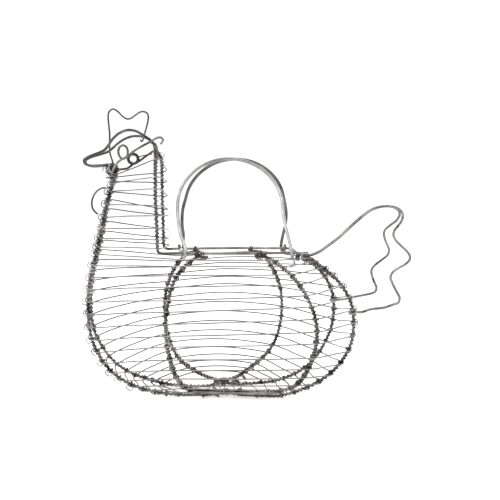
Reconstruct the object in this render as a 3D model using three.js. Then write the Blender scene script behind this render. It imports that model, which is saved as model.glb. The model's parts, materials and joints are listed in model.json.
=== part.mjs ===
// A hen-shaped wire egg basket: a bent wire frame, two swinging bail handles and a woven wire skin.
// Millimetres, +Z up. The beak points along -X, the tail along +X and the left side faces -Y.
// The basket stands on z = 0 on two runners, and the origin is below the middle of its outer box.
import * as THREE from 'three';

// ---- driving dimensions ----
const FRAME_R = 1.35; // frame wires
const HANDLE_R = 1.65; // the two bail handles
const TRIM_R = 0.9; // comb and wattle
const EYE_WIRE_R = 1.15; // the two eyes
const WEAVE_R = 0.6; // woven wire
const TIE_R = 0.5; // ties and the lacing of the floor
const GAP = 0.35; // clearance between neighbouring wires

const BUNDLE = FRAME_R + 0.6; // half spacing of four wires tied in a square bundle
const RIM_Z = 138; // height of the rim wires round the mouth
const HINGE_Y = 36; // distance of each handle's hinge line from the middle
const FRAME_SIDES = 6;
const RUNNER_Z = FRAME_R * Math.cos(Math.PI / FRAME_SIDES) - 0.05; // a runner stands on a flat side
const TAIL_FOOT_Z = 82.5; // where the tail's lower ends hook round the back wires
const THROAT_X = -127.4; // middle of the bundle at the throat
const THROAT_Z = 215.4;
const ROOT_X = 57.5; // middle of the bundle at the root of the tail
const ROOT_Z = 131.2;
const FOOT_TIE_X = -22; // each hoop is tied to its runner here, where the runner lifts off the floor

const HANDLE_TOP_Y = HANDLE_R + 0.35; // the handles all but touch above the middle
const HANDLE_TOP_Z = 226.5;
const HANDLE_ARCH_R = 49.5;
const HANDLE_EYE_R = FRAME_R + HANDLE_R + 0.65;
const EYE_ADVANCE = 4.3; // how far the eye's end runs along the rim
// A leg runs from the arch to the foot: each point is how far along the rim, then how high up the bail.
const HANDLES = [
  {
    name: 'handle_left',
    side: -1,
    archX: -17,
    legs: [
      [[-66.4, 42], [-65, 26], [-63.2, 16]],
      [[32.4, 42], [34.4, 26], [36.2, 16]],
    ],
    feet: [-58.8, 38],
  },
  {
    name: 'handle_right',
    side: 1,
    archX: -10.5,
    legs: [
      [[-62.2, 42], [-62.9, 28], [-61.8, 16]],
      [[41, 40], [41, 27], [39.4, 16]],
    ],
    feet: [-62, 38],
  },
];

// Heights of the neck rows on the two wires at the throat and the two at the nape.
const NECK_ROWS = {
  throatLeft: [208.6, 202, 194.2, 182.7, 170.9, 160.1, 150.9, 142.8],
  throatRight: [208, 203.6, 194.3, 187, 177.9, 165.9, 156.4, 147.3],
  napeLeft: [221.9, 206.5, 196.3, 181.4, 172.7, 161, 150.9, 143.2],
  napeRight: [214.1, 204.3, 190.6, 177.9, 171.8, 158.1, 149.2, 142.6],
};

// Where every fourth body row crosses the frame, measured down each wire from its upper end.
const ROW_STEP = 4;
const BODY_ROWS = {
  breastLeft: [86, 131.4, 179.4, 225.4, 272.4],
  breastRight: [83.4, 125.4, 171.4, 217.4, 254.4],
  hoopFrontLeft: [27, 76, 115, 169, 213],
  hoopFrontRight: [28.5, 73, 112, 150, 192],
  hoopBackLeft: [26, 73, 115, 174.6, 218],
  hoopBackRight: [20, 70, 112.5, 156, 200],
  backLeft: [15, 67, 113.2, 171, 222],
  backRight: [24, 79.5, 126, 176, 224],
};
const BODY_ROW_COUNT = 1 + ROW_STEP * (BODY_ROWS.backLeft.length - 1);
const ROW_RISE = 5.5; // how much the rows of the right side lift between their wires
const LOW_ROWS_Z = 16; // below this a row passes under the frame wires
const RUNNER_ROWS_Z = 4.6; // and below this over them, since they stand on the floor

// ---- materials ----
const frameSteel = { color: 0x6b6966, roughness: 0.5, metalness: 0.85 };
const handleSteel = { color: 0x9c9b99, roughness: 0.38, metalness: 0.9 };
const trimSteel = { color: 0x6f6d6a, roughness: 0.45, metalness: 0.85 };
const weaveSteel = { color: 0x8b8986, roughness: 0.42, metalness: 0.88 };
const tieSteel = { color: 0x4b4946, roughness: 0.6, metalness: 0.8 };

// ---- wire helpers ----

// A smooth curve that is stepped evenly from one control point to the next, and never sinks below `lowest`.
class Route extends THREE.CatmullRomCurve3 {
  constructor(points, { closed = false, lowest = -Infinity } = {}) {
    super(points, closed, 'centripetal');
    this.lowest = lowest;
  }

  getPoint(t, target) {
    const point = super.getPoint(t, target);
    point.z = Math.max(point.z, this.lowest);
    return point;
  }

  getPointAt(u, target) {
    return this.getPoint(u, target);
  }

  getTangentAt(u, target) {
    return this.getTangent(u, target);
  }
}

function vectors(rows, side = 1) {
  return rows.map(([x, y, z]) => new THREE.Vector3(x, side * y, z));
}

function section(radius, sides, turn) {
  const corners = [];
  for (let i = 0; i < sides; i += 1) {
    const angle = (2 * Math.PI * (i + 0.5)) / sides + turn;
    corners.push(new THREE.Vector2(radius * Math.cos(angle), radius * Math.sin(angle)));
  }
  return new THREE.Shape(corners);
}

function openWire(route, radius, sides, stepsPerSpan, turn = 0) {
  const steps = stepsPerSpan * (route.points.length - 1);
  const options = { steps, extrudePath: route, bevelEnabled: false };
  return new THREE.ExtrudeGeometry(section(radius, sides, turn), options);
}

function ringWire(points, radius, sides, stepsPerSpan) {
  const route = new Route(points, { closed: true });
  return new THREE.TubeGeometry(route, stepsPerSpan * points.length, radius, sides, true);
}

function piece(name, geometry, finish) {
  const mesh = new THREE.Mesh(geometry, new THREE.MeshStandardMaterial(finish));
  mesh.name = name;
  return mesh;
}

// The place where a route passes a height, among the points that `keep` accepts.
function atHeight(route, height, keep) {
  const samples = 600;
  let last = route.getPoint(0);
  for (let i = 1; i <= samples; i += 1) {
    const next = route.getPoint(i / samples);
    const crosses = (last.z - height) * (next.z - height) <= 0 && last.z !== next.z;
    if (crosses && keep(next)) {
      const share = (height - last.z) / (next.z - last.z);
      const tangent = next.clone().sub(last).normalize();
      return { point: last.clone().lerp(next, share), tangent };
    }
    last = next;
  }
  throw new Error(`no wire at height ${height}`);
}

// The place at a distance along a route, measured from its start or from its end.
function along(route, distance, fromEnd = false) {
  const samples = 600;
  const at = (i) => route.getPoint(fromEnd ? 1 - i / samples : i / samples);
  let last = at(0);
  let left = distance;
  for (let i = 1; i <= samples; i += 1) {
    const next = at(i);
    const step = last.distanceTo(next);
    if (step >= left) {
      const tangent = next.clone().sub(last).normalize();
      return { point: last.clone().lerp(next, left / step), tangent };
    }
    left -= step;
    last = next;
  }
  throw new Error(`no wire ${distance} mm along`);
}

// ---- frame wires ----

// From the throat round the beak, over the head, down the nape, along the rim and round the tail.
function profilePoints(twist) {
  const bundleX = THROAT_X - BUNDLE;
  const neckX = -86 + twist;
  const throatAndBeak = [
    [bundleX, BUNDLE, THROAT_Z - 4],
    [bundleX, BUNDLE, THROAT_Z + 2.8],
    [bundleX - 2.6, BUNDLE + 0.5, THROAT_Z + 4.6],
    [-138, 4.4, 219.6],
    [-149, 5, 219.4],
    [-153.6, 4.6, 221.4],
    [-154.3, 4.4, 224.4],
    [-151, 5, 227],
    [-145, 7, 229.4],
    [-138.5, 10, 231.6],
  ];
  const head = [
    [-133.5, 14, 234],
    [-129.5, 19, 238],
    [-125, 25, 243],
    [-119, 29, 247.5],
    [-112, 31, 250.2],
    [-105.5, 28, 250.2],
    [-100, 18, 248.4],
    [-95.5, 9, 246],
    [-91, 3.2, 243],
  ];
  const neck = [
    [-88, 4, 239],
    [-87, 11, 234],
    [neckX, 23, 227],
    [neckX, 31, 219],
    [neckX, 36, 206],
    [neckX, 38.5, 190],
    [neckX + 0.5, 39, 172],
    [neckX + 1, 38, 156],
    [neckX + 1.2, 37, 143],
    [neckX + 1.9, 36.5, 139.4],
    [neckX + 4.8, 36.1, RIM_Z],
  ];
  const rim = [
    [-70, HINGE_Y, RIM_Z],
    [-61, HINGE_Y, RIM_Z],
    [-53, 36.8, RIM_Z],
    [-40, 39.5, RIM_Z],
    [-19, 42, RIM_Z],
    [2, 42, RIM_Z],
    [18, 39.5, RIM_Z],
    [29, 36.8, RIM_Z],
    [37, HINGE_Y, RIM_Z],
    [43.4, HINGE_Y, RIM_Z],
    [47.4, 33.4, 137.4],
    [50, 26, 136],
    [51.4, 16, 134.6],
    [ROOT_X - 5, 5.4, ROOT_Z + BUNDLE + 0.3],
    [ROOT_X - 3.6, BUNDLE + 0.3, ROOT_Z + BUNDLE],
    [ROOT_X, BUNDLE, ROOT_Z + BUNDLE],
    [ROOT_X + 5, BUNDLE, ROOT_Z + BUNDLE + 0.2],
  ];
  const tail = [
    [71, 2, 136.6],
    [79, 2, 142],
    [91, 2, 151],
    [103, 2, 162],
    [115, 2, 172.4],
    [123, 2.2, 177.8],
    [131, 2.6, 180.4],
    [139, 3, 181],
    [146, 3.2, 179.8],
    [151, 4, 176.6],
    [152.4, 5.6, 172.4],
    [150.4, 9, 167],
    [145, 14, 161.6],
    [141, 16.6, 157.4],
    [140, 18, 153],
    [141.6, 20.6, 148.6],
    [145, 27, 143.6],
    [148.6, 33, 139],
    [150.6, 37, 134.6],
    [149.6, 38.6, 130.4],
    [145, 38.6, 126.4],
    [139, 36.6, 122.6],
    [134.6, 35.8, 119],
    [132.4, 37, 114.8],
    [133.4, 40, 109.4],
    [136.6, 42.4, 102],
    [139.4, 43.6, 95.8],
    [138.6, 44.2, 91.8],
    [135, 44.4, 89.8],
    [127, 44.6, 88],
    [114, 44.8, 85.6],
    [104, 45, TAIL_FOOT_Z + 1],
  ];
  return [...throatAndBeak, ...head, ...neck, ...rim, ...tail];
}

// The tail wire's end: most of a turn round the back wire, dropping a little as it goes.
function tailFootPoints(backWire) {
  const { point } = atHeight(backWire, TAIL_FOOT_Z, (p) => p.x > 60);
  const radius = 2 * FRAME_R + 0.6;
  const steps = 7;
  const points = [];
  for (let i = 0; i <= steps; i += 1) {
    const angle = -Math.PI / 2 - (i / steps) * 1.4 * Math.PI;
    const x = point.x + radius * Math.cos(angle);
    const y = point.y + radius * Math.sin(angle);
    points.push([x, y, TAIL_FOOT_Z + 1 - (2.4 * i) / steps]);
  }
  return points;
}

// From the root of the tail down the back, along the floor as a runner, up the breast and the neck.
const KEEL_POINTS = [
  [ROOT_X - 4, BUNDLE, ROOT_Z - BUNDLE],
  [ROOT_X + 3, BUNDLE, ROOT_Z - BUNDLE],
  [62.6, 7, 128.8],
  [63.8, 17, 127.6],
  [66.6, 28, 125],
  [72, 37, 121],
  [79, 42.6, 114.6],
  [85, 45, 107],
  [90, 46.4, 98.6],
  [93.8, 47.4, 88],
  [95, 48.6, 72],
  [93.2, 48.4, 56],
  [88.4, 46.4, 44],
  [80.4, 42, 31],
  [71, 37, 21],
  [60, 32.6, 13],
  [47, 30.4, 7],
  [33, 29.6, 2.8],
  [20, 27.4, RUNNER_Z],
  [6, 23.6, RUNNER_Z],
  [-6, 20.8, RUNNER_Z],
  [FOOT_TIE_X + 7, 19.2, RUNNER_Z + 1.6],
  [FOOT_TIE_X, 18.4, RUNNER_Z + 2.4],
  [FOOT_TIE_X - 7, 17.8, RUNNER_Z + 1.6],
  [-38, 17, RUNNER_Z],
  [-52, 16.8, RUNNER_Z],
  [-68, 17.8, 2.2],
  [-83, 19.4, 4.6],
  [-97, 20.8, 8.2],
  [-110, 20.6, 13],
  [-122, 19.8, 19.8],
  [-133.4, 18.4, 30],
  [-141, 16.6, 41],
  [-147, 13.8, 53],
  [-150.4, 10.6, 66],
  [-151.6, 9, 84],
  [-151, 8.8, 100],
  [-148.8, 8.4, 115],
  [-145, 7.8, 131],
  [-141, 7, 148],
  [-137, 6, 166],
  [-133.4, 4.8, 184],
  [-129.6, 3.2, 198],
  [THROAT_X + BUNDLE, BUNDLE, THROAT_Z - 4],
  [THROAT_X + BUNDLE, BUNDLE, THROAT_Z + 4],
];

// A runner is pressed level where it bears on the floor.
function pressedOnFloor(geometry) {
  const { position } = geometry.attributes;
  for (let i = 0; i < position.count; i += 1) {
    position.setZ(i, Math.max(position.getZ(i), 0));
  }
  return geometry;
}

// The turn of a runner's section that brings one of its flats down onto the floor.
function flatDownTurn(keel) {
  const steps = 2 * (keel.points.length - 1);
  const frames = keel.computeFrenetFrames(steps, false);
  const onFloor = 2 * keel.points.findIndex((p) => p.z === RUNNER_Z);
  const x = -frames.normals[onFloor].z;
  const y = -frames.binormals[onFloor].z;
  return Math.atan2(y, x);
}

// The hoops that belly out each side. Their ends run along the rim for a short way, under the ties.
const TAB_Z = RIM_Z - 2 * FRAME_R - 0.5;

const LEFT_HOOP = [
  [-38.5, 39.9, TAB_Z],
  [-46.6, 38.6, TAB_Z],
  [-50.4, 42.6, TAB_Z - 0.6],
  [-54, 51, 132],
  [-58.4, 59, 129],
  [-62.6, 66, 125],
  [-67, 72.6, 119],
  [-71, 79.4, 110.6],
  [-74, 86, 98],
  [-76, 90, 80],
  [-75, 87, 63],
  [-72, 77, 45],
  [-67, 60, 27],
  [-60, 42, 14.6],
  [-48, 29, 8],
  [-34, 22.8, 6],
  [-22, 22.6, 5.6],
  [-8, 25.4, 5.8],
  [12, 31.4, 6.6],
  [28, 37, 8.6],
  [40, 44, 14],
  [46, 56, 24],
  [50, 71, 38],
  [53, 82.6, 54],
  [54, 89, 71],
  [52.6, 89, 85],
  [48.4, 85, 98],
  [42.6, 79, 109.6],
  [36, 72, 118.4],
  [29.4, 64, 125],
  [23, 55.4, 130],
  [17.4, 46.6, 133.6],
  [13, 40.9, TAB_Z],
  [4.4, 41.9, TAB_Z],
];

const RIGHT_HOOP = [
  [-45, 38.4, TAB_Z],
  [-52.8, 36.9, TAB_Z],
  [-56.4, 42, 133.6],
  [-62, 51.6, 128.4],
  [-71, 66, 117.4],
  [-78, 79, 102],
  [-82, 87, 87],
  [-83.4, 90, 71],
  [-82, 88.6, 54],
  [-77.6, 82.6, 36.6],
  [-70.4, 71, 22.6],
  [-61, 57, 15],
  [-47, 40, 9.6],
  [-34, 27.4, 6.8],
  [-24, 22.8, 5.6],
  [-14, 25.4, 6],
  [-4, 35, 8],
  [10, 53, 13],
  [25, 70, 20.6],
  [36.4, 81.6, 33],
  [43, 88, 50.6],
  [45, 90, 70],
  [43.6, 87, 88],
  [37.4, 78, 106],
  [30.4, 67, 118],
  [24, 55, 127.6],
  [17.4, 44.4, 133.6],
  [13, 40.9, TAB_Z],
  [4.6, 41.9, TAB_Z],
];

// ---- handles ----

// A bail drawn flat: `x` along the hinge line, `h` up the bail and `n` out from the basket's middle.
function bailPoints({ archX, legs, feet }) {
  const top = Math.hypot(HINGE_Y - HANDLE_TOP_Y, HANDLE_TOP_Z - RIM_Z);
  const archH = top - HANDLE_ARCH_R;
  const arch = [];
  for (let degrees = 170; degrees >= 10; degrees -= 12.3) {
    const angle = THREE.MathUtils.degToRad(degrees);
    const x = archX + HANDLE_ARCH_R * Math.cos(angle);
    const h = archH + HANDLE_ARCH_R * Math.sin(angle);
    arch.push({ x, h, n: 0 });
  }
  const front = footPoints(legs[0], feet[0], -1).reverse();
  const back = footPoints(legs[1], feet[1], 1);
  return [...front, ...arch, ...back];
}

// The leg and foot of a bail: down past the outside of the rim wire, then most of a turn round it.
function footPoints(leg, footX, direction) {
  const points = leg.map(([x, h]) => ({ x, h, n: h < 20 ? 1.2 : 0 }));
  const lastX = leg[leg.length - 1][0];
  points.push({ x: footX + 0.3 * (lastX - footX), h: 7, n: HANDLE_EYE_R - 0.5 });
  const steps = 9;
  for (let i = 0; i <= steps; i += 1) {
    const angle = (i / steps) * 1.5 * Math.PI;
    const h = -HANDLE_EYE_R * Math.sin(angle);
    const n = HANDLE_EYE_R * Math.cos(angle);
    points.push({ x: footX + (direction * EYE_ADVANCE * i) / steps, h, n });
  }
  return points;
}

function handle(bail) {
  const lean = Math.atan2(HINGE_Y - HANDLE_TOP_Y, HANDLE_TOP_Z - RIM_Z);
  const points = bailPoints(bail).map(({ x, h, n }) => {
    const y = HINGE_Y - h * Math.sin(lean) + n * Math.cos(lean);
    const z = RIM_Z + h * Math.cos(lean) + n * Math.sin(lean);
    return new THREE.Vector3(x, bail.side * y, z);
  });
  return piece(bail.name, openWire(new Route(points), HANDLE_R, 8, 1), handleSteel);
}

// ---- head trim ----

function combWire() {
  const points = vectors([
    [THROAT_X, 0, THROAT_Z - 4],
    [THROAT_X, 0, THROAT_Z + 5],
    [-130.6, 0, 232],
    [-130.6, 0, 250],
    [-131.8, 0, 264],
    [-131, 0, 270.4],
    [-127.4, 0, 273],
    [-123, 0, 271],
    [-118, 0, 266],
    [-113.6, 0, 263.8],
    [-109.4, 0, 265.2],
    [-103, 0, 269.8],
    [-99, 0, 271],
    [-95.2, 0, 269.4],
    [-94, 0, 265.6],
    [-95.4, 0, 258],
    [-97.4, 0, 251],
    [-98.6, 0, 246.6],
  ]);
  return piece('comb_wire', openWire(new Route(points), TRIM_R, 6, 2), trimSteel);
}

// The left eye's wire runs on out over the nape and hooks back; the right one stops beside the nape.
const LEFT_EYE_END = [
  [-107, 18, 232],
  [-99, 12, 237.6],
  [-91.5, 8, 242],
  [-86, 7, 245.4],
  [-82, 7, 246],
  [-80, 7, 243.6],
  [-82.4, 7, 239.6],
];
const RIGHT_EYE_END = [
  [-104.6, 21.4, 225.2],
  [-99.4, 18, 228.6],
  [-94, 13.6, 232],
  [-90.6, 10.6, 234.2],
];

// From beside the throat up to the cheek, once round the eye, then on to the back of the head.
function eyeWire(name, side, eye, end) {
  const stem = [
    [-128.4, 8, 208.6],
    [-126.4, 12, 215.4],
    [eye.x - 5.6, 20, eye.z - 9.6],
  ];
  const loop = [];
  for (let i = 0; i <= 8; i += 1) {
    const angle = -Math.PI / 2 + (i / 8) * 2 * Math.PI;
    const x = eye.x + eye.width * Math.cos(angle);
    const z = eye.z + eye.height * Math.sin(angle);
    loop.push([x, 25.4 - 0.32 * i, z]);
  }
  const points = vectors([...stem, ...loop, ...end], side);
  return piece(name, openWire(new Route(points), EYE_WIRE_R, 5, 2), trimSteel);
}

function wattleWire() {
  const points = vectors([
    [-134.8, 0, 198.4],
    [-139, 0, 198.2],
    [-143.6, 0, 195],
    [-147, 0, 189.6],
    [-148.2, 0, 183.4],
    [-146.8, 0, 177.6],
    [-142.6, 0, 173.4],
  ]);
  return piece('wattle_wire', openWire(new Route(points), TRIM_R, 6, 2), trimSteel);
}

// ---- woven rows ----

// The way a row passes a frame wire: over it, under it near the floor, else round the outside.
function passing({ point, tangent, over = false }, arriving, leaving) {
  const way = arriving.clone().sub(leaving);
  if (over || point.z < RUNNER_ROWS_Z) {
    way.set(0, 0, 1);
  } else if (point.z < LOW_ROWS_Z) {
    way.set(0, 0, -1);
  }
  return way.addScaledVector(tangent, -way.dot(tangent)).normalize();
}

// A closed row round a ring of posts, each one a place on a frame wire. After its post the row
// swells by `bow` of the distance to the next one and lifts by `rise`.
function rowPoints(posts) {
  const reach = FRAME_R + GAP + WEAVE_R;
  const count = posts.length;
  const corners = posts.map((post, i) => {
    const arriving = post.point.clone().sub(posts[(i + count - 1) % count].point).normalize();
    const leaving = posts[(i + 1) % count].point.clone().sub(post.point).normalize();
    const way = passing(post, arriving, leaving);
    const sideways = !post.over && post.point.z >= LOW_ROWS_Z;
    const halfTurn = sideways ? Math.cos(arriving.angleTo(leaving) / 2) : 1;
    return post.point.clone().addScaledVector(way, reach / Math.max(halfTurn, 0.55) + 0.15);
  });
  const middle = new THREE.Vector3();
  corners.forEach((corner) => middle.add(corner));
  middle.divideScalar(count);
  const points = [];
  corners.forEach((corner, i) => {
    const { bow = 0, rise = 0 } = posts[i];
    const next = corners[(i + 1) % count];
    const between = corner.clone().lerp(next, 0.5);
    const outward = between.clone().sub(middle).setZ(0).normalize();
    between.addScaledVector(outward, bow * corner.distanceTo(next));
    between.z += rise;
    points.push(corner, between);
  });
  return points;
}

function rowName(part, i) {
  return `${part}_row_${String(i + 1).padStart(2, '0')}`;
}

function neckRow(i, wires) {
  const { throatLeft, throatRight, napeLeft, napeRight } = NECK_ROWS;
  const isThroat = (p) => p.x < -100;
  const isNape = (p) => p.x > -100 && p.x < -70 && p.z < 230;
  const posts = [
    { ...atHeight(wires.keelLeft, throatLeft[i], isThroat), bow: 0.03 },
    { ...atHeight(wires.profileLeft, napeLeft[i], isNape), bow: 0.04 },
    { ...atHeight(wires.profileRight, napeRight[i], isNape), bow: 0.03 },
    atHeight(wires.keelRight, throatRight[i], isThroat),
  ];
  return piece(rowName('neck', i), ringWire(rowPoints(posts), WEAVE_R, 4, 3), weaveSteel);
}

// The distance of row `i` along a wire, between the ones that are given.
function crossing(distances, i) {
  const before = Math.min(Math.floor(i / ROW_STEP), distances.length - 2);
  const share = i / ROW_STEP - before;
  return THREE.MathUtils.lerp(distances[before], distances[before + 1], share);
}

function bodyRow(i, wires) {
  const { keelLeft, keelRight, hoopLeft, hoopRight } = wires;
  const place = (route, distances, fromEnd) => along(route, crossing(distances, i), fromEnd);
  const rise = ROW_RISE * Math.sin((Math.PI * (i + 1)) / (BODY_ROW_COUNT + 2));
  const overBack = i < 2; // the top rows lie over the wires that run sideways there
  const overHoop = i < 1;
  const posts = [
    { ...place(keelLeft, BODY_ROWS.breastLeft, true), bow: 0.02 },
    { ...place(hoopLeft, BODY_ROWS.hoopFrontLeft, false), bow: 0.02, over: overHoop },
    { ...place(hoopLeft, BODY_ROWS.hoopBackLeft, true), bow: 0.02, over: overHoop },
    { ...place(keelLeft, BODY_ROWS.backLeft, false), bow: overBack ? 0.03 : 0, over: overBack },
    { ...place(keelRight, BODY_ROWS.backRight, false), bow: 0.02, over: overBack },
    { ...place(hoopRight, BODY_ROWS.hoopBackRight, true), bow: 0.02, rise, over: overHoop },
    { ...place(hoopRight, BODY_ROWS.hoopFrontRight, false), bow: 0.03, rise: 0.4 * rise, over: overHoop },
    place(keelRight, BODY_ROWS.breastRight, true),
  ];
  return piece(rowName('body', i), ringWire(rowPoints(posts), WEAVE_R, 4, 2), weaveSteel);
}

// One wire laid in a zigzag over the two runners.
function floorLacing(keel) {
  const reach = FRAME_R + GAP + TIE_R;
  const onFloor = [];
  for (let i = 0; i <= 600; i += 1) {
    const p = keel.getPoint(i / 600);
    if (p.z < 14 && p.x > -56 && p.x < 13) {
      onFloor.push(p);
    }
  }
  const turns = 7;
  const points = [];
  for (let i = 0; i <= turns; i += 1) {
    const p = onFloor[Math.round((i / turns) * (onFloor.length - 1))];
    const side = i % 2 === 0 ? -1 : 1;
    points.push(new THREE.Vector3(p.x, side * (p.y + 0.6), p.z + reach + 0.1));
  }
  return piece('floor_lacing', openWire(new Route(points), TIE_R, 4, 2), weaveSteel);
}

// ---- ties ----

// A coil wound along `axis` round wires that lie `span` either side of `centre` along `across`.
function tie(name, { centre, axis, across, span = 0, radius, turns, length }) {
  const along = axis.clone().normalize();
  const wide = across.clone().addScaledVector(along, -across.dot(along)).normalize();
  const deep = along.clone().cross(wide);
  const stepsPerTurn = 8;
  const steps = Math.round(turns * stepsPerTurn);
  const points = [];
  for (let i = 0; i <= steps; i += 1) {
    const angle = ((i + 0.5) / stepsPerTurn) * 2 * Math.PI;
    const point = centre.clone();
    point.addScaledVector(along, length * (i / steps - 0.5));
    point.addScaledVector(wide, radius * Math.cos(angle) + span * Math.sign(Math.cos(angle)));
    point.addScaledVector(deep, radius * Math.sin(angle));
    points.push(point);
  }
  return piece(name, openWire(new Route(points), TIE_R, 4, 1), tieSteel);
}

function hoopTopTie(name, x, rimY, slope, side) {
  const axis = new THREE.Vector3(1, side * slope, 0);
  const centre = new THREE.Vector3(x, side * rimY, (RIM_Z + TAB_Z) / 2);
  const across = new THREE.Vector3(0, 0, 1);
  const span = (RIM_Z - TAB_Z) / 2;
  const radius = FRAME_R + TIE_R + GAP + 0.4;
  return tie(name, { centre, axis, across, span, radius, turns: 2.5, length: 4.5 });
}

function hoopFootTie(name, hoop, keel, side) {
  const onHoop = nearX(hoop, FOOT_TIE_X, (p) => p.z < 12);
  const onKeel = nearX(keel, FOOT_TIE_X, (p) => p.z < 5);
  const centre = onHoop.clone().lerp(onKeel, 0.5);
  const across = onHoop.clone().sub(onKeel);
  const span = across.length() / 2;
  const axis = new THREE.Vector3(1, side * -0.1, 0);
  const radius = FRAME_R + TIE_R + GAP + 0.4;
  return tie(name, { centre, axis, across, span, radius, turns: 2.5, length: 4.5 });
}

function nearX(route, x, keep) {
  let best = null;
  for (let i = 0; i <= 600; i += 1) {
    const p = route.getPoint(i / 600);
    if (keep(p) && (best === null || Math.abs(p.x - x) < Math.abs(best.x - x))) {
      best = p;
    }
  }
  return best;
}

function bundleTie(name, centre, axis) {
  const radius = Math.SQRT2 * BUNDLE + FRAME_R + GAP + TIE_R + 0.3;
  const across = new THREE.Vector3(0, 1, 0);
  return tie(name, { centre, axis, across, radius, turns: 2.5, length: 5 });
}

// ---- the basket ----

function basket() {
  const group = new THREE.Group();
  const keelLeft = new Route(vectors(KEEL_POINTS, -1), { lowest: RUNNER_Z });
  const keelRight = new Route(vectors(KEEL_POINTS, 1), { lowest: RUNNER_Z });
  const tailFoot = tailFootPoints(keelRight);
  const profileLeft = new Route(vectors([...profilePoints(0), ...tailFoot], -1));
  const profileRight = new Route(vectors([...profilePoints(3), ...tailFoot], 1));
  const hoopLeft = new Route(vectors(LEFT_HOOP, -1));
  const hoopRight = new Route(vectors(RIGHT_HOOP, 1));
  const wires = { keelLeft, keelRight, profileLeft, profileRight, hoopLeft, hoopRight };

  for (const [name, route] of [['profile_wire_left', profileLeft], ['profile_wire_right', profileRight]]) {
    group.add(piece(name, openWire(route, FRAME_R, FRAME_SIDES, 1), frameSteel));
  }
  for (const [name, route] of [['keel_wire_left', keelLeft], ['keel_wire_right', keelRight]]) {
    const wire = openWire(route, FRAME_R, FRAME_SIDES, 2, flatDownTurn(route));
    group.add(piece(name, pressedOnFloor(wire), frameSteel));
  }
  for (const [name, route] of [['side_hoop_left', hoopLeft], ['side_hoop_right', hoopRight]]) {
    group.add(piece(name, openWire(route, FRAME_R, FRAME_SIDES, 2), frameSteel));
  }
  for (const bail of HANDLES) {
    group.add(handle(bail));
  }

  group.add(combWire());
  const leftEye = { x: -116, z: 231, width: 4.4, height: 6.2 };
  const rightEye = { x: -110.6, z: 227.6, width: 5.2, height: 5.2 };
  group.add(eyeWire('eye_wire_left', -1, leftEye, LEFT_EYE_END));
  group.add(eyeWire('eye_wire_right', 1, rightEye, RIGHT_EYE_END));
  group.add(wattleWire());

  for (let i = 0; i < NECK_ROWS.napeLeft.length; i += 1) {
    group.add(neckRow(i, wires));
  }
  for (let i = 0; i < BODY_ROW_COUNT; i += 1) {
    group.add(bodyRow(i, wires));
  }
  group.add(floorLacing(keelRight));

  group.add(hoopTopTie('hoop_tie_left_front', -42.5, 39.2, 0.16, -1));
  group.add(hoopTopTie('hoop_tie_left_back', 8.8, 41.4, -0.13, -1));
  group.add(hoopTopTie('hoop_tie_right_front', -49, 37.6, 0.17, 1));
  group.add(hoopTopTie('hoop_tie_right_back', 8.8, 41.4, -0.13, 1));
  group.add(hoopFootTie('hoop_tie_left_foot', hoopLeft, keelLeft, -1));
  group.add(hoopFootTie('hoop_tie_right_foot', hoopRight, keelRight, 1));
  group.add(bundleTie('throat_tie', new THREE.Vector3(THROAT_X, 0, THROAT_Z), new THREE.Vector3(0, 0, 1)));
  group.add(bundleTie('tail_root_tie', new THREE.Vector3(ROOT_X, 0, ROOT_Z), new THREE.Vector3(1, 0, 0)));
  centre(group);
  return group;
}

// Moves the basket so that the origin is below the middle of its outer box.
function centre(group) {
  const middle = new THREE.Box3().setFromObject(group, true).getCenter(new THREE.Vector3());
  group.position.set(-middle.x, -middle.y, 0);
}

export default basket();
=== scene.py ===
"""A hen-shaped wire basket. Every CAD wire is drawn again as a smooth round wire on the same
centreline, and the thin wire that is wound, looped and knotted round the frame is added to it."""

import json
import math

import bpy
import numpy as np
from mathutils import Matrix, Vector


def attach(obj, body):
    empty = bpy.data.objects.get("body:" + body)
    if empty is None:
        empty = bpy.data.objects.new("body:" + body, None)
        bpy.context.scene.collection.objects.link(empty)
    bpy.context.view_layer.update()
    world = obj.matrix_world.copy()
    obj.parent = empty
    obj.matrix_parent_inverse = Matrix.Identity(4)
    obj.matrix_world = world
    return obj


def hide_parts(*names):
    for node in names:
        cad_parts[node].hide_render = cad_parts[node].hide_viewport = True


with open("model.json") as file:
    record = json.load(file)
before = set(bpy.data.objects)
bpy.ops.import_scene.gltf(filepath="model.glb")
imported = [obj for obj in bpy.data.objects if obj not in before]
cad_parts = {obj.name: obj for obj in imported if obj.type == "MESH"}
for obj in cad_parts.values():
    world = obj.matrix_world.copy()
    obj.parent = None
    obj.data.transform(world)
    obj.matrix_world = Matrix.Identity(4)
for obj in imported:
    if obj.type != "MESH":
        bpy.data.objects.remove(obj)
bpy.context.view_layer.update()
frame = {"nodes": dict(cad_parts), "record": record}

MM = 0.001
SLOTS = {part["node"]: part["material_slot"] for part in frame["record"]["subparts"]}
BODY_OF = {
    node: body
    for body, nodes in frame["record"]["behaviour"]["bodies"].items()
    for node in nodes
}
random = np.random.default_rng(7)

# ---- sizes, in metres ----

CORE_R = 1.3 * MM  # frame wire, between the flats and the corners of its CAD section
BAIL_R = 1.6 * MM  # likewise
TRIM_R = 0.9 * MM  # comb and wattle
EYE_R = 1.15 * MM
ROW_R = 0.6 * MM
LACE_R = 0.5 * MM
TIE_R = 0.5 * MM
BIND_R = 0.55 * MM  # thin wire wound on the frame wires
LOOP_R = 0.56 * MM
WRAP_R = CORE_R + 3.1 * BIND_R  # reach of a bright turn round the keel
SAME_PLACE = 2e-6  # vertices this close are one
OPEN_STEP, ROW_STEP, TIE_STEP = 1.2 * MM, 2.5 * MM, 0.5 * MM  # between points of a drawn wire
COIL_STEP = math.tau / 9  # between points of a coil
THIN_SIDES = 5  # of the thin wire's section

# ---- places, in mm ----

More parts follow.
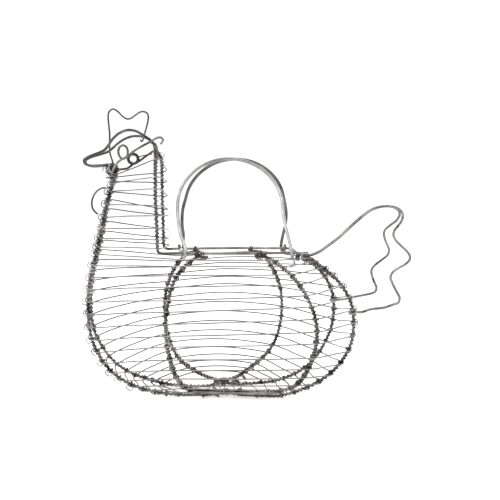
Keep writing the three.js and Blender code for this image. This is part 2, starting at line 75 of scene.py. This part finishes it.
HOOP_TOP_Z = 133  # the hoops are tied above this
NECK_FOOT_Z = 141  # foot of the upright part of the nape
THROAT_Z = 224
TAIL_ROOT_X = (50, 64)
TAIL_ROOT_Z = 125

# ---- centrelines of the CAD wires ----


def linked_vertices(node):
    """The node's vertices, each place once, and which of them are joined by an edge."""
    mesh = frame["nodes"][node].data
    co = np.array([v.co for v in mesh.vertices], float)
    _, first, index = np.unique(
        np.round(co / SAME_PLACE).astype(int), axis=0, return_index=True, return_inverse=True
    )
    index = index.reshape(-1)
    links = [set() for _ in first]
    for edge in mesh.edges:
        a, b = (int(index[v]) for v in edge.vertices)
        if a != b:
            links[a].add(b)
            links[b].add(a)
    return co[first], links


def farthest(links, start):
    """The vertex that is most edges away from start."""
    seen, layer, last = {start}, [start], start
    while layer:
        last = layer[0]
        layer = sorted({n for v in layer for n in links[v]} - seen)
        seen.update(layer)
    return last


def centreline(node, sides, closed=False):
    """The middle of each ring of vertices along a CAD wire whose section has that many sides."""
    co, links = linked_vertices(node)

    def nearest(vertex, others):
        gaps = np.linalg.norm(co[others] - co[vertex], axis=1)
        return [others[i] for i in np.argsort(gaps)[:sides]]

    start = 0 if closed else farthest(links, 0)
    ring = nearest(start, list(range(len(co))))
    seen, rings = set(ring), [ring]
    while True:
        following = sorted({n for v in ring for n in links[v]} - seen)
        if not following:
            break
        if len(following) > sides:
            following = nearest(following[0], following)
        ring = following
        seen.update(ring)
        rings.append(ring)
    return np.array([co[r].mean(0) for r in rings])


# ---- lines ----


def smooth(points, step, closed=False):
    """A smooth line through the points with a point about every step."""
    p = np.asarray(points, float)
    if closed:
        p = np.vstack([p[-1], p, p[0], p[1]])
    else:
        p = np.vstack([2 * p[0] - p[1], p, 2 * p[-1] - p[-2]])
    line = []
    for a, b, c, d in zip(p, p[1:], p[2:], p[3:]):
        ab, bc, cd = (math.sqrt(max(np.linalg.norm(v), 1e-9)) for v in (b - a, c - b, d - c))
        leave = bc * ((b - a) / ab - (c - a) / (ab + bc) + (c - b) / bc)
        arrive = bc * ((c - b) / bc - (d - b) / (bc + cd) + (d - c) / cd)
        count = max(1, round(np.linalg.norm(c - b) / step))
        for t in np.arange(count) / count:
            t2, t3 = t * t, t * t * t
            line.append(
                (2 * t3 - 3 * t2 + 1) * b
                + (t3 - 2 * t2 + t) * leave
                + (3 * t2 - 2 * t3) * c
                + (t3 - t2) * arrive
            )
    if not closed:
        line.append(p[-2])
    return np.array(line)


def tangents(line, closed=False):
    if closed:
        t = np.roll(line, -1, 0) - np.roll(line, 1, 0)
    else:
        t = np.gradient(line, axis=0)
    return t / np.linalg.norm(t, axis=1)[:, None]


def frames(line, closed=False):
    """Tangent and two cross directions at each point, turned as little as possible on the way."""
    t = tangents(line, closed)
    side = np.cross(t[0], (0.0, 0.0, 1.0))
    if np.linalg.norm(side) < 0.2:
        side = np.cross(t[0], (1.0, 0.0, 0.0))
    normals = [side / np.linalg.norm(side)]
    for a, b in zip(t, t[1:]):
        n = normals[-1] - b * np.dot(normals[-1], b)
        normals.append(n / np.linalg.norm(n))
    n = np.array(normals)
    if closed:
        end = n[-1] - t[0] * np.dot(n[-1], t[0])
        twist = math.atan2(np.dot(np.cross(end, n[0]), t[0]), np.dot(end, n[0]))
        angle = twist * np.arange(len(line)) / len(line)
        n = n * np.cos(angle)[:, None] + np.cross(t, n) * np.sin(angle)[:, None]
    return t, n, np.cross(t, n)


def lengths(line):
    """The distance along a line of each of its points."""
    return np.concatenate([[0], np.cumsum(np.linalg.norm(np.diff(line, axis=0), axis=1))])


def helix(line, first, last, radius, turns, phase=0.0, wobble=0.0):
    """A coil round part of a line, between two distances along it. wobble makes its pitch uneven."""
    s = lengths(line)
    _, n, b = frames(line)
    count = max(4, round(turns * math.tau / COIL_STEP))
    u = np.linspace(0, 1, count + 1)
    at = first + (last - first) * u
    centre = np.stack([np.interp(at, s, line[:, k]) for k in range(3)], 1)
    na = np.stack([np.interp(at, s, n[:, k]) for k in range(3)], 1)
    ba = np.stack([np.interp(at, s, b[:, k]) for k in range(3)], 1)
    angle = phase + turns * math.tau * u
    angle = angle + wobble * np.sin(3.1 * at / (9 * MM) + phase)
    return centre + radius * (np.cos(angle)[:, None] * na + np.sin(angle)[:, None] * ba)


# ---- meshes ----


class Wires:
    """Collects round wires into one mesh."""

    def __init__(self):
        self.verts, self.faces = [], []

    def add(self, line, radius, sides, closed=False):
        """A wire along the line, lifted where it would go through the floor."""
        line = np.asarray(line, float).copy()
        line[:, 2] = np.maximum(line[:, 2], radius)
        _, n, b = frames(line, closed)
        base, count = len(self.verts), len(line)
        for k in range(sides):
            a = math.tau * k / sides
            ring = line + radius * (math.cos(a) * n + math.sin(a) * b)
            self.verts.extend(map(tuple, ring))
        for i in range(count if closed else count - 1):
            j = (i + 1) % count
            for k in range(sides):
                m = (k + 1) % sides
                self.faces.append(
                    (
                        base + k * count + i,
                        base + m * count + i,
                        base + m * count + j,
                        base + k * count + j,
                    )
                )
        if not closed:
            self.faces.append(tuple(base + k * count for k in reversed(range(sides))))
            self.faces.append(tuple(base + k * count + count - 1 for k in range(sides)))

    def piece(self, name, material, body, replaces=()):
        mesh = bpy.data.meshes.new(name)
        mesh.from_pydata(self.verts, [], self.faces)
        mesh.polygons.foreach_set("use_smooth", [len(f) == 4 for f in self.faces])
        mesh.update()
        obj = bpy.data.objects.new(name, mesh)
        bpy.context.scene.collection.objects.link(obj)
        mesh.materials.append(material)
        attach(obj, body)
        if replaces:
            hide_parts(*replaces)


# ---- materials ----


def map_range(tree, value, source, target=(0.0, 1.0)):
    """The value moved from the source range to the target range."""
    node = tree.nodes.new("ShaderNodeMapRange")
    tree.links.new(value, node.inputs["Value"])
    node.inputs["From Min"].default_value, node.inputs["From Max"].default_value = source
    node.inputs["To Min"].default_value, node.inputs["To Max"].default_value = target
    return node.outputs["Result"]


def steel(
    name, dark, light, roughness, scale=900.0, bump=0.15, stain=None, change=None, metallic=0.85
):
    """Drawn steel wire: patches of two greys, fine streaks, and spots of `stain` where given.
    `scale` is how fine the streaks are and `bump` how deep. `change` is an axis, the two places
    between which the greys change, and the other pair of greys. Below 1, `metallic` shows more of
    the wire's own grey and less of what it mirrors."""
    material = bpy.data.materials.new(name)
    material.use_nodes = True
    tree = material.node_tree
    nodes, links = tree.nodes, tree.links
    nodes.clear()
    out = nodes.new("ShaderNodeOutputMaterial")
    shader = nodes.new("ShaderNodeBsdfPrincipled")
    shader.inputs["Metallic"].default_value = metallic
    links.new(shader.outputs[0], out.inputs[0])
    place = nodes.new("ShaderNodeTexCoord")

    def noise(size, detail=3.0):
        node = nodes.new("ShaderNodeTexNoise")
        node.inputs["Scale"].default_value = size
        node.inputs["Detail"].default_value = detail
        links.new(place.outputs["Object"], node.inputs["Vector"])
        return node.outputs["Fac"]

    def ramp(value, stops):
        node = nodes.new("ShaderNodeValToRGB")
        elements = node.color_ramp.elements
        while len(elements) < len(stops):
            elements.new(0.5)
        for element, (at, colour) in zip(elements, stops):
            element.position = at
            element.color = (*colour, 1)
        links.new(value, node.inputs["Fac"])
        return node.outputs["Color"]

    def patches(first, second):
        return ramp(noise(70.0), [(0.36, first), (0.64, second)])

    coarse = patches(dark, light)
    # The other greys paint light and shade: from start to end along the axis the wire turns to a
    # lighter or darker pair, a painted lit or shaded part.
    if change:
        axis, start, end, other_dark, other_light = change
        axes = nodes.new("ShaderNodeSeparateXYZ")
        links.new(place.outputs["Object"], axes.inputs[0])
        sides = nodes.new("ShaderNodeMix")
        sides.data_type = "RGBA"
        links.new(map_range(tree, axes.outputs[axis], (start, end)), sides.inputs["Factor"])
        links.new(coarse, sides.inputs["A"])
        links.new(patches(other_dark, other_light), sides.inputs["B"])
        coarse = sides.outputs["Result"]
    fine = ramp(noise(scale), [(0.3, (0.72,) * 3), (0.6, (1.0,) * 3)])
    mix = nodes.new("ShaderNodeMix")
    mix.data_type = "RGBA"
    mix.blend_type = "MULTIPLY"
    mix.inputs["Factor"].default_value = 0.8
    links.new(coarse, mix.inputs["A"])
    links.new(fine, mix.inputs["B"])
    colour = mix.outputs["Result"]
    if stain:
        spots = ramp(noise(160.0, 2.0), [(0.62, (0.0,) * 3), (0.72, (1.0,) * 3)])
        over = nodes.new("ShaderNodeMix")
        over.data_type = "RGBA"
        links.new(spots, over.inputs["Factor"])
        links.new(colour, over.inputs["A"])
        over.inputs["B"].default_value = (*stain, 1)
        colour = over.outputs["Result"]
    links.new(colour, shader.inputs["Base Color"])

    rough = map_range(tree, noise(240.0), (0.3, 0.7), (roughness - 0.08, roughness + 0.12))
    links.new(rough, shader.inputs["Roughness"])

    relief = nodes.new("ShaderNodeBump")
    relief.inputs["Strength"].default_value = bump
    relief.inputs["Distance"].default_value = 0.0002
    links.new(noise(scale * 1.4, 4.0), relief.inputs["Height"])
    links.new(relief.outputs["Normal"], shader.inputs["Normal"])
    return material


FRAME_GREYS = ((0.055, 0.052, 0.05), (0.17, 0.165, 0.16))
BROWN = (0.06, 0.045, 0.035)

frame_steel = steel("frame_steel", *FRAME_GREYS, 0.34, stain=BROWN)
# Painted highlight: behind the nape (x from -0.076 to -0.064 and on) the rim wire is painted in
# lighter greys.
rim_steel = steel(
    "rim_steel",
    *FRAME_GREYS,
    0.34,
    stain=BROWN,
    change=("X", -0.076, -0.064, (0.18, 0.172, 0.165), (0.33, 0.32, 0.31)),
)
# Painted light: the near bail (y from 0.004 down to -0.012 and below) is painted in lighter greys
# than the far one.
bail_steel = steel(
    "bail_steel",
    (0.08, 0.075, 0.07),
    (0.18, 0.17, 0.16),
    0.36,
    scale=150.0,
    bump=0.01,
    change=("Y", 0.004, -0.012, (0.4, 0.4, 0.4), (0.56, 0.56, 0.56)),
    metallic=0.55,
)
# Painted light: the near eye ring (y below -0.002) is painted lighter than the far one.
eye_steel = steel(
    "eye_steel",
    (0.05, 0.048, 0.046),
    (0.13, 0.126, 0.122),
    0.34,
    change=("Y", 0.002, -0.002, (0.13, 0.125, 0.12), (0.3, 0.29, 0.28)),
)
trim_steel = steel("trim_steel", (0.07, 0.068, 0.065), (0.19, 0.185, 0.18), 0.34)
# Painted light: rows on the near side (y from 0.02 down to -0.02 and below) are painted lighter than
# those on the far side.
weave_steel = steel(
    "weave_steel",
    (0.06, 0.056, 0.054),
    (0.14, 0.134, 0.13),
    0.34,
    change=("Y", 0.02, -0.02, (0.17, 0.164, 0.16), (0.36, 0.352, 0.347)),
)
# Painted highlights: the light patches of the wound wire stand in for its highlights. Towards the
# tail (x from 0.03 to 0.07 and on) both greys are darker, the painted highlights dimmer.
bind_steel = steel(
    "bind_steel",
    (0.02, 0.018, 0.017),
    (0.62, 0.58, 0.56),
    0.22,
    scale=420.0,
    change=("X", 0.03, 0.07, (0.012, 0.011, 0.01), (0.26, 0.24, 0.23)),
)
# The wound wire on the nape: darker, its light patches dimmer painted highlights.
nape_steel = steel("nape_steel", (0.015, 0.014, 0.014), (0.32, 0.31, 0.3), 0.26, scale=420.0)
# Painted highlight: the thin wire of the loops and of the bright throat coils is painted light grey,
# so it looks lit.
loop_steel = steel("loop_steel", (0.2, 0.2, 0.205), (0.85, 0.85, 0.87), 0.24, metallic=0.45)
tie_steel = steel("tie_steel", (0.012, 0.012, 0.012), (0.16, 0.155, 0.15), 0.36)
MATERIALS = {
    "frame_wire": frame_steel,
    "handle_wire": bail_steel,
    "trim_wire": trim_steel,
    "weave_wire": weave_steel,
    "tie_wire": tie_steel,
}

# ---- the CAD wires, drawn round and fine ----

FRAME_WIRES = [
    f"{wire}_{side}"
    for wire in ("profile_wire", "keel_wire", "side_hoop")
    for side in ("left", "right")
]
OPEN_WIRES = {  # sides of the CAD section, drawn radius, drawn sides
    **{node: (6, CORE_R, 10) for node in FRAME_WIRES},
    "handle_left": (8, BAIL_R, 14),
    "handle_right": (8, BAIL_R, 14),
    "comb_wire": (6, TRIM_R, 8),
    "eye_wire_left": (5, EYE_R, 8),
    "eye_wire_right": (5, EYE_R, 8),
    "wattle_wire": (6, TRIM_R, 8),
    "floor_lacing": (4, LACE_R, 6),
}
OWN_STEEL = {
    "profile_wire_left": rim_steel,
    "profile_wire_right": rim_steel,
    "eye_wire_left": eye_steel,
    "eye_wire_right": eye_steel,
}
ROWS = sorted(n for n in frame["nodes"] if "_row_" in n)
TIES = sorted(n for n in frame["nodes"] if "_tie" in n)

lines = {}
for node, (sides, radius, fine_sides) in OPEN_WIRES.items():
    lines[node] = smooth(centreline(node, sides), OPEN_STEP)
    wire = Wires()
    wire.add(lines[node], radius, fine_sides)
    material = OWN_STEEL.get(node, MATERIALS[SLOTS[node]])
    wire.piece("fine_" + node, material, BODY_OF[node], [node])

for node in ROWS:
    lines[node] = smooth(centreline(node, 4, closed=True), ROW_STEP, closed=True)
    wire = Wires()
    wire.add(lines[node], ROW_R, 6, closed=True)
    wire.piece("fine_" + node, weave_steel, BODY_OF[node], [node])

for node in TIES:
    lines[node] = smooth(centreline(node, 4), TIE_STEP)
    wire = Wires()
    wire.add(lines[node], TIE_R, 6)
    wire.piece("fine_" + node, tie_steel, BODY_OF[node], [node])

# ---- the thin wire wound along the frame ----


def between(line, keep):
    """The first and last distance along a line at which keep(point in mm) is true."""
    s = lengths(line)
    inside = [d for d, point in zip(s, line) if keep(point / MM)]
    return min(inside), max(inside)


WOUND = [  # the wire, which part of it, and the pitch in mm
    ("profile_wire_left", lambda p: -95 < p[0] < -70 and NECK_FOOT_Z < p[2] < 243, 3.7),
    ("profile_wire_right", lambda p: -95 < p[0] < -70 and NECK_FOOT_Z < p[2] < 241, 3.9),
    ("keel_wire_left", lambda p: p[2] < THROAT_Z, 3.8),
    ("keel_wire_right", lambda p: p[2] < THROAT_Z, 4.1),
    ("side_hoop_left", lambda p: p[2] < HOOP_TOP_Z, 3.7),
    ("side_hoop_right", lambda p: p[2] < HOOP_TOP_Z, 4.0),
]
for k, (node, keep, pitch) in enumerate(WOUND):
    wire = Wires()
    first, last = between(lines[node], keep)
    turns = (last - first) / (pitch * MM)
    coil = helix(lines[node], first, last, CORE_R + BIND_R, turns, phase=1.7 * k, wobble=0.8)
    wire.add(coil, BIND_R, THIN_SIDES)
    material = nape_steel if "profile" in node else bind_steel
    wire.piece("wound_" + node, material, "basket")

# ---- a knot wherever a row crosses the frame ----


def crossings(line, row, reach):
    """Which points of a frame line a row passes closest to, once for each time it comes in reach."""
    gaps = np.linalg.norm(line[:, None, :] - row[None, :, :], axis=2).min(1)
    closest = []
    i = 0
    while i < len(gaps):
        if gaps[i] < reach:
            j = i
            while j + 1 < len(gaps) and gaps[j + 1] < reach:
                j += 1
            closest.append(i + int(np.argmin(gaps[i : j + 1])))
            i = j + 1
        else:
            i += 1
    return closest


def bare(node, point):
    """Whether a tie holds the wire here, at a hoop's top or at the tail's root, so no knot does."""
    x, _, z = point / MM
    if "hoop" in node:
        return z > HOOP_TOP_Z
    return TAIL_ROOT_X[0] < x < TAIL_ROOT_X[1] and z > TAIL_ROOT_Z


KNOT_REACH = 3.1 * MM  # a row that comes this close is knotted
KNOT_GAP = 2.4 * MM  # between two knots on a wire, at least
KNOTTED = {  # which rows are knotted to each wire
    "profile_wire_left": "neck",
    "profile_wire_right": "neck",
    "keel_wire_left": "",
    "keel_wire_right": "",
    "side_hoop_left": "body",
    "side_hoop_right": "body",
}
met = {}
for node, part in KNOTTED.items():
    line, s = lines[node], lengths(lines[node])
    wire = Wires()
    met[node] = []
    for row in ROWS:
        if not row.startswith(part):
            continue
        for i in crossings(line, lines[row], KNOT_REACH):
            if bare(node, line[i]) or any(abs(s[i] - s[j]) < KNOT_GAP for j in met[node]):
                continue
            met[node].append(i)
            half = random.uniform(0.5, 1.1) * MM
            radius = CORE_R + BIND_R * random.uniform(1.8, 2.4)
            turns = random.uniform(1.3, 2.1)
            first, last = max(s[i] - half, 0), min(s[i] + half, s[-1])
            phase = random.uniform(0, math.tau)
            wire.add(helix(line, first, last, radius, turns, phase), BIND_R, THIN_SIDES)
    wire.piece("knots_" + node, tie_steel, "basket")

# ---- springy loops of thin wire outside the breast and behind the neck ----


def arc_loop(foot, along, out, height, depth, lean=0.0):
    """A C of wire that leaves and returns to the frame wire beside foot."""
    points = [
        foot + along * (a * height) + out * (b * depth) + out * lean * a for a, b in LOOP_SHAPE
    ]
    return smooth(points, 0.6 * MM)


LOOP_SHAPE = [  # shares of the height along the wire and of the depth away from it
    (-0.5, 0.0),
    (-0.62, 0.45),
    (-0.42, 0.85),
    (0.05, 1.0),
    (0.5, 0.8),
    (0.6, 0.4),
    (0.42, 0.0),
]
BREAST_X, BACK_X = -110 * MM, 50 * MM  # loops lie in front of the one and behind the other
LOW_Z = 65 * MM  # below this there are none at the back and none on the right wire
BODY_MIDDLE = Vector((-20 * MM, 0, 75 * MM))
NECK_X, NECK_Z = -60 * MM, 130 * MM  # the neck's middle, and where it begins

loops = Wires()
for node, share in (("keel_wire_left", 1.0), ("keel_wire_right", 0.8)):  # share of the depth
    line, s = lines[node], lengths(lines[node])
    t = tangents(line)
    for i in sorted(met[node]):
        point = line[i]
        low = point[2] < LOW_Z
        if point[0] > BREAST_X and (point[0] < BACK_X or low):
            continue
        if low and node == "keel_wire_right":
            continue
        axis = BODY_MIDDLE if point[2] < NECK_Z else Vector((NECK_X, 0, point[2]))
        out = np.array([point[0] - axis[0], 0.0, point[2] - axis[2]])
        out -= t[i] * np.dot(out, t[i])
        out /= np.linalg.norm(out)
        side = np.array([0.0, math.copysign(1.0, point[1]), 0.0])
        turned = out + side * random.uniform(0.0, 0.5)
        turned /= np.linalg.norm(turned)
        height = random.uniform(4.6, 6.0) * MM
        depth = random.uniform(3.2, 4.6) * MM * share
        if point[0] > 0:
            height, depth = 5.0 * MM, 2.6 * MM * share
        if not low and point[0] < 0:
            wrap = helix(line, s[i] - 0.5 * MM, s[i] + 0.5 * MM, WRAP_R, 1.0)
            loops.add(wrap, LOOP_R, THIN_SIDES)
        along = t[i] * random.choice([-1.0, 1.0])
        loop = arc_loop(point + turned * 1.2 * MM, along, turned, height, depth, 0.4 * MM)
        loops.add(loop, LOOP_R, THIN_SIDES)
loops.piece("loops_breast", loop_steel, "basket")

TOP_LOOP_Z = 231 * MM  # one larger loop at the top of the nape
NAPE_X, NAPE_REACH = -82 * MM, 13 * MM

nape = Wires()
for node in ("profile_wire_left", "profile_wire_right"):
    line = lines[node]
    t = tangents(line)
    for i in sorted(met[node]):
        point = line[i]
        if point[2] < NECK_FOOT_Z * MM:
            continue
        out = np.array([1.0, math.copysign(0.25, point[1]), 0.0])
        out /= np.linalg.norm(out)
        height, depth = random.uniform(4, 6) * MM, random.uniform(2.8, 4.6) * MM
        loop = arc_loop(point + out * 1.0 * MM, t[i], out, height, depth, 1.2 * MM)
        nape.add(loop, LOOP_R, THIN_SIDES)
    if node == "profile_wire_right":
        elsewhere = abs(line[:, 0] - NAPE_X) >= NAPE_REACH
        top = int(np.argmin(abs(line[:, 2] - TOP_LOOP_Z) + elsewhere))
        loop = arc_loop(line[top], t[top], np.array([1.0, 0.0, 0.0]), 7 * MM, 5.5 * MM)
        nape.add(loop, LOOP_R, THIN_SIDES)
nape.piece("loops_nape", loop_steel, "basket")

# ---- tangled ends at the throat, the tail root, the hoop tops and under the hoops ----


TURN_POINTS = 7


def tangle(wire, centre, axis, length, radius, turns, count, thickness=TIE_R, flat=1.0):
    """A number of short coils wound untidily round an axis. The centre is in mm, the lengths are
    in metres, and flat below 1 presses the coils towards the floor."""
    main = np.array(axis, float) / np.linalg.norm(axis)
    for _ in range(count):
        axis = main + random.uniform(-0.3, 0.3, 3)
        axis /= np.linalg.norm(axis)
        cross = np.cross(axis, (0.3, 0.2, 1.0) if abs(axis[2]) < 0.8 else (1.0, 0.2, 0.0))
        cross /= np.linalg.norm(cross)
        third = np.cross(axis, cross)
        steps = int(turns * TURN_POINTS)
        start, drift = random.uniform(-0.5, 0.5), random.uniform(-0.35, 0.35)
        phase = random.uniform(0, math.tau)
        points = []
        for k in range(steps + 1):
            angle = phase + math.tau * k / TURN_POINTS
            reach = radius * (1 + 0.15 * math.sin(0.6 * angle))
            at = length * (start + drift * k / steps)
            offset = axis * at + reach * (math.cos(angle) * cross + math.sin(angle) * third)
            points.append(np.array(centre) * MM + offset * (1, 1, flat))
        wire.add(smooth(points, 0.7 * MM), thickness, THIN_SIDES)


throat = Wires()
tangle(throat, (-128.6, 0, 214), (0.4, -0.3, 1), 15 * MM, 4.0 * MM, 2.4, 7, 0.7 * MM)
throat.piece("tangle_throat_dark", tie_steel, "basket")
# These coils are painted light grey (loop_steel), a painted highlight.
bright = Wires()
tangle(bright, (-129.6, 0, 214), (0.7, -0.5, 0.7), 13 * MM, 5.0 * MM, 1.2, 3, 0.6 * MM)
tangle(bright, (-129.6, 0, 214), (-0.6, -0.3, 0.8), 13 * MM, 5.2 * MM, 1.4, 2, 0.75 * MM)
bright.piece("tangle_throat_bright", loop_steel, "basket")

root = Wires()
tangle(root, (51.5, -2, 131.5), (0.8, -0.4, 0.2), 4 * MM, 2.8 * MM, 1.6, 3, 0.8 * MM)
root.piece("tangle_tail_root", tie_steel, "basket")

HOOP_TOPS = [(-46.5, -39.4, -0.16), (8.8, -41.4, 0.13), (-49, 37.6, 0.17), (8.8, 41.4, -0.13)]
tops = Wires()
for x, y, slope in HOOP_TOPS:
    tangle(tops, (x, y, 136.6), (1, slope - 0.5, 0.3), 4 * MM, 2.3 * MM, 1.7, 3, 0.65 * MM)
tops.piece("tangle_hoop_tops", tie_steel, "basket")

UNDER_HOOPS = [  # place, and how many coils
    (-24, -21, 7),
    (-10, -23, 6),
    (2, -26, 5),
    (-24, 21, 7),
    (-36, -21, 5),
    (12, -29, 5),
    (-6, 25, 5),
]
under = Wires()
for x, y, count in UNDER_HOOPS:
    tangle(under, (x, y, 4.6), (1, 0.2, 0.4), 14 * MM, 3.6 * MM, 1.8, count, flat=0.6)
under.piece("tangle_under_hoops", tie_steel, "basket")

# ---- small wires: under the comb, below a foot of the left bail, and at the right eye ----


def back_end(node):
    """The end of a wire that is nearer the tail."""
    return max(lines[node][0], lines[node][-1], key=lambda point: point[0])


def bent_end(name, start, steps, radius, material, body="basket"):
    """A short wire from start through the places that lie the given steps, in mm, from it."""
    wire = Wires()
    wire.add(smooth([start + np.array(step) * MM for step in steps], 0.5 * MM), radius, 8)
    wire.piece(name, material, body)


bent_end(
    "hook_comb",
    back_end("comb_wire"),
    [(0, 0, 0), (-0.5, -0.4, -2.0), (-1.4, -0.6, -3.9), (-2.7, -0.6, -3.4), (-2.6, -0.5, -1.9)],
    0.75 * MM,
    tie_steel,
)
bent_end(
    "hook_rim",
    # the lowest point of the bail's rear foot; the hook meets body_row_01 at rest
    min(lines["handle_left"], key=lambda point: (point[0] < 0, point[2])),
    [(0, 0, 0), (1.6, -1.2, -2.8), (1.8, -2.2, -6.2), (0.2, -2.4, -8.6), (-2.8, -2.2, -9.2)],
    1.05 * MM,
    bail_steel,
    "left_bail",
)


def ring_of(line):
    """The part of a wire that turns round and comes back to where it was."""
    s = lengths(line)
    gaps = np.linalg.norm(line[:, None, :] - line[None, :, :], axis=2)
    gaps[s[None, :] - s[:, None] < 15 * MM] = 1.0
    first, last = np.unravel_index(int(np.argmin(gaps)), gaps.shape)
    return line[first:last]


ring = ring_of(lines["eye_wire_right"])
middle = ring.mean(0)
turn = Wires()
turn.add(middle + (ring - middle) * 0.8 + np.array([0, 0.4 * MM, 0]), 0.95 * MM, 8, closed=True)
turn.piece("turn_eye", eye_steel, "basket")
bent_end(
    "stay_eye",
    middle + np.array([4.5, 0.0, 1.6]) * MM,
    [(0, 0, 0), (4.6, 1.0, 1.6), (9.6, 2.2, 2.8), (14.0, 3.4, 3.4)],
    0.55 * MM,
    eye_steel,
)

# ---- camera, floor and light ----

camera = bpy.data.objects.new("camera", bpy.data.cameras.new("camera"))
bpy.context.scene.collection.objects.link(camera)
bpy.context.scene.camera = camera
camera.location = (-0.0521, -0.7201, 0.1832)
camera.rotation_euler = (math.radians(90 - 3.538), 0, math.radians(-4.449))
camera.data.sensor_width = 36
camera.data.lens = 53.57

bpy.ops.mesh.primitive_plane_add(size=12, location=(0, 0, 0))
floor = bpy.context.object
floor.name = "floor"
floor_material = bpy.data.materials.new("floor")
floor_material.use_nodes = True
floor_shader = floor_material.node_tree.nodes["Principled BSDF"]
floor_shader.inputs["Base Color"].default_value = (0.6, 0.6, 0.6, 1)
# The floor glows, though it is no lamp: painted light that keeps the shadows on it faint.
floor_shader.inputs["Emission Color"].default_value = (1, 1, 1, 1)
floor_shader.inputs["Emission Strength"].default_value = 0.6  # keeps the shadows faint
floor_shader.inputs["Roughness"].default_value = 0.8
floor.data.materials.append(floor_material)

# The world is plain white to the camera, and darker towards the front for what the wires mirror.
WHITE, FRONT = 1.15, 0.3

world = bpy.data.worlds.new("studio")
bpy.context.scene.world = world
world.use_nodes = True
sky = world.node_tree
direction = sky.nodes.new("ShaderNodeTexCoord")
split = sky.nodes.new("ShaderNodeSeparateXYZ")
sky.links.new(direction.outputs["Generated"], split.inputs[0])
shade = map_range(sky, split.outputs["Y"], (-0.5, 0.25), (FRONT, WHITE))
ray = sky.nodes.new("ShaderNodeLightPath")
seen = sky.nodes.new("ShaderNodeMix")
sky.links.new(ray.outputs["Is Camera Ray"], seen.inputs["Factor"])
sky.links.new(shade, seen.inputs["A"])
seen.inputs["B"].default_value = WHITE
sky.links.new(seen.outputs["Result"], sky.nodes["Background"].inputs["Strength"])
sky.nodes["Background"].inputs["Color"].default_value = (1, 1, 1, 1)


def softbox(name, place, aim, size, power):
    light = bpy.data.lights.new(name, "AREA")
    light.shape = "RECTANGLE"
    light.size, light.size_y = size
    light.energy = power
    obj = bpy.data.objects.new(name, light)
    bpy.context.scene.collection.objects.link(obj)
    obj.location = place
    obj.rotation_euler = (Vector(aim) - Vector(place)).to_track_quat("-Z", "Y").to_euler()


softbox("key", (-0.7, -0.8, 0.9), (0, 0, 0.12), (0.5, 0.8), 8)
sun = bpy.data.objects.new("overhead", bpy.data.lights.new("overhead", "SUN"))
bpy.context.scene.collection.objects.link(sun)
sun.data.energy = 1.5
sun.data.angle = math.radians(100)
sun.rotation_euler = (0, math.radians(12), 0)

bpy.context.scene.view_settings.view_transform = "Standard"
